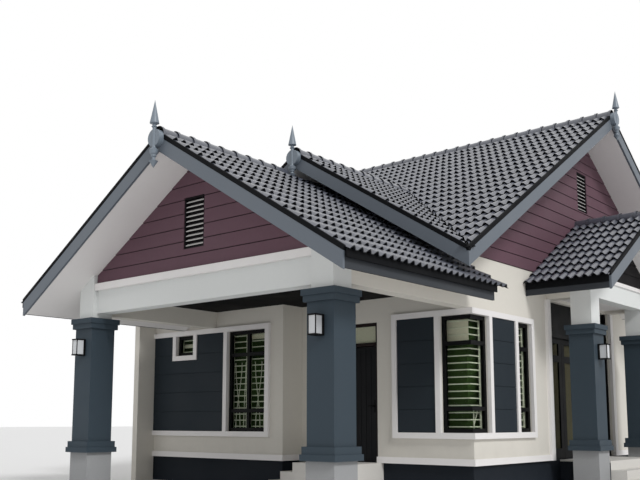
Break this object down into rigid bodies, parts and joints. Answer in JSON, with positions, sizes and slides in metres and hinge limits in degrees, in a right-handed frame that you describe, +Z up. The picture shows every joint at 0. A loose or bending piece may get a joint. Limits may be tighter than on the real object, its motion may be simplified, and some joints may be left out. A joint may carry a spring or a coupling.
{
  "type": "bungalow",
  "caption": "single-storey house with crossing gable roofs, deep column porch in front, small side porch, hollow inside behind opening entry and side doors",
  "frame": {"origin": "middle of the outline at ground level", "axes": "+Z up, -Y towards the front porch, +X towards the side porch"},
  "size_m": [9.4928, 15.4728, 8.2048],
  "materials": {
    "dark_plinth": "matt dark paint on render",
    "wall_paint": "matt off-white paint on render",
    "white_trim": "smooth white paint",
    "pale_stone": "pale fair-faced concrete",
    "slate_paint": "smooth slate-blue paint",
    "black_ceiling": "dark boarded ceiling",
    "roof_tile": "satin charcoal tiles",
    "soffit_white": "white painted board",
    "barge_grey": "slate-grey painted timber",
    "plum_boards": "plum-brown painted boards",
    "dark_boards": "near-black painted boards",
    "vent_grey": "light grey louvres",
    "finial_grey": "grey paint",
    "black_frame": "black powder coat",
    "clear_glass": "clear glass",
    "navy_boards": "navy painted cement boards",
    "door_frame_brown": "dark brown stain",
    "dark_door": "dark painted door",
    "step_stone": "pale stone treads",
    "lamp_metal": "black metal with pale glass"
  },
  "bodies": {
    "house": {"plinth": "dark_plinth", "base_ledge": "white_trim", "front_wall_left": "wall_paint", "entry_return_wall": "wall_paint", "front_wall_right": "wall_paint", "front_gable_wall": "wall_paint", "side_wall_front": "wall_paint", "side_wall_back": "wall_paint", "side_wall_head": "wall_paint", "back_wall": "wall_paint", "party_wall": "wall_paint", "pedestals": "pale_stone", "column_right": "slate_paint", "column_left": "slate_paint", "side_column_front": "slate_paint", "side_column_back": "slate_paint", "porch_front_beam": "white_trim", "porch_side_beams": "wall_paint", "side_porch_beam": "white_trim", "side_porch_arms": "wall_paint", "porch_ceiling": "black_ceiling", "side_porch_ceiling": "soffit_white", "porch_roof": "roof_tile", "cross_roof": "roof_tile", "main_roof": "roof_tile", "side_roof": "roof_tile", "soffits": "soffit_white", "porch_barge": "barge_grey", "cross_barge": "barge_grey", "main_barge": "barge_grey", "side_barge": "barge_grey", "fascias": "barge_grey", "porch_gable": "plum_boards", "main_gable": "plum_boards", "side_gable": "dark_boards", "gable_vents": "vent_grey", "finials": "finial_grey", "surrounds": "white_trim", "window_frames": "black_frame", "window_glass": "clear_glass", "wall_panels": "navy_boards", "entry_frame": "door_frame_brown", "side_door_frame": "black_frame", "steps": "step_stone", "wall_lamps": "lamp_metal"},
    "entry_door": {"entry_door": "dark_door"},
    "side_leaf_front": {"side_leaf_front": "black_frame", "side_leaf_glass_front": "clear_glass"},
    "side_leaf_back": {"side_leaf_back": "black_frame", "side_leaf_glass_back": "clear_glass"}
  },
  "joints": [
    {"name": "entry_door_hinge", "type": "hinge", "parent": "house", "child": "entry_door", "pos_m": [0.0575, -3.0648, 1.5], "axis": [0, 0, 1], "range_deg": [0, 90]},
    {"name": "side_leaf_front_hinge", "type": "hinge", "parent": "house", "child": "side_leaf_front", "pos_m": [2.7948, 0.5125, 1.7], "axis": [0, 0, 1], "range_deg": [0, 90]},
    {"name": "side_leaf_back_hinge", "type": "hinge", "parent": "house", "child": "side_leaf_back", "pos_m": [2.7948, 1.9605, 1.7], "axis": [0, 0, -1], "range_deg": [0, 90]}
  ]
}
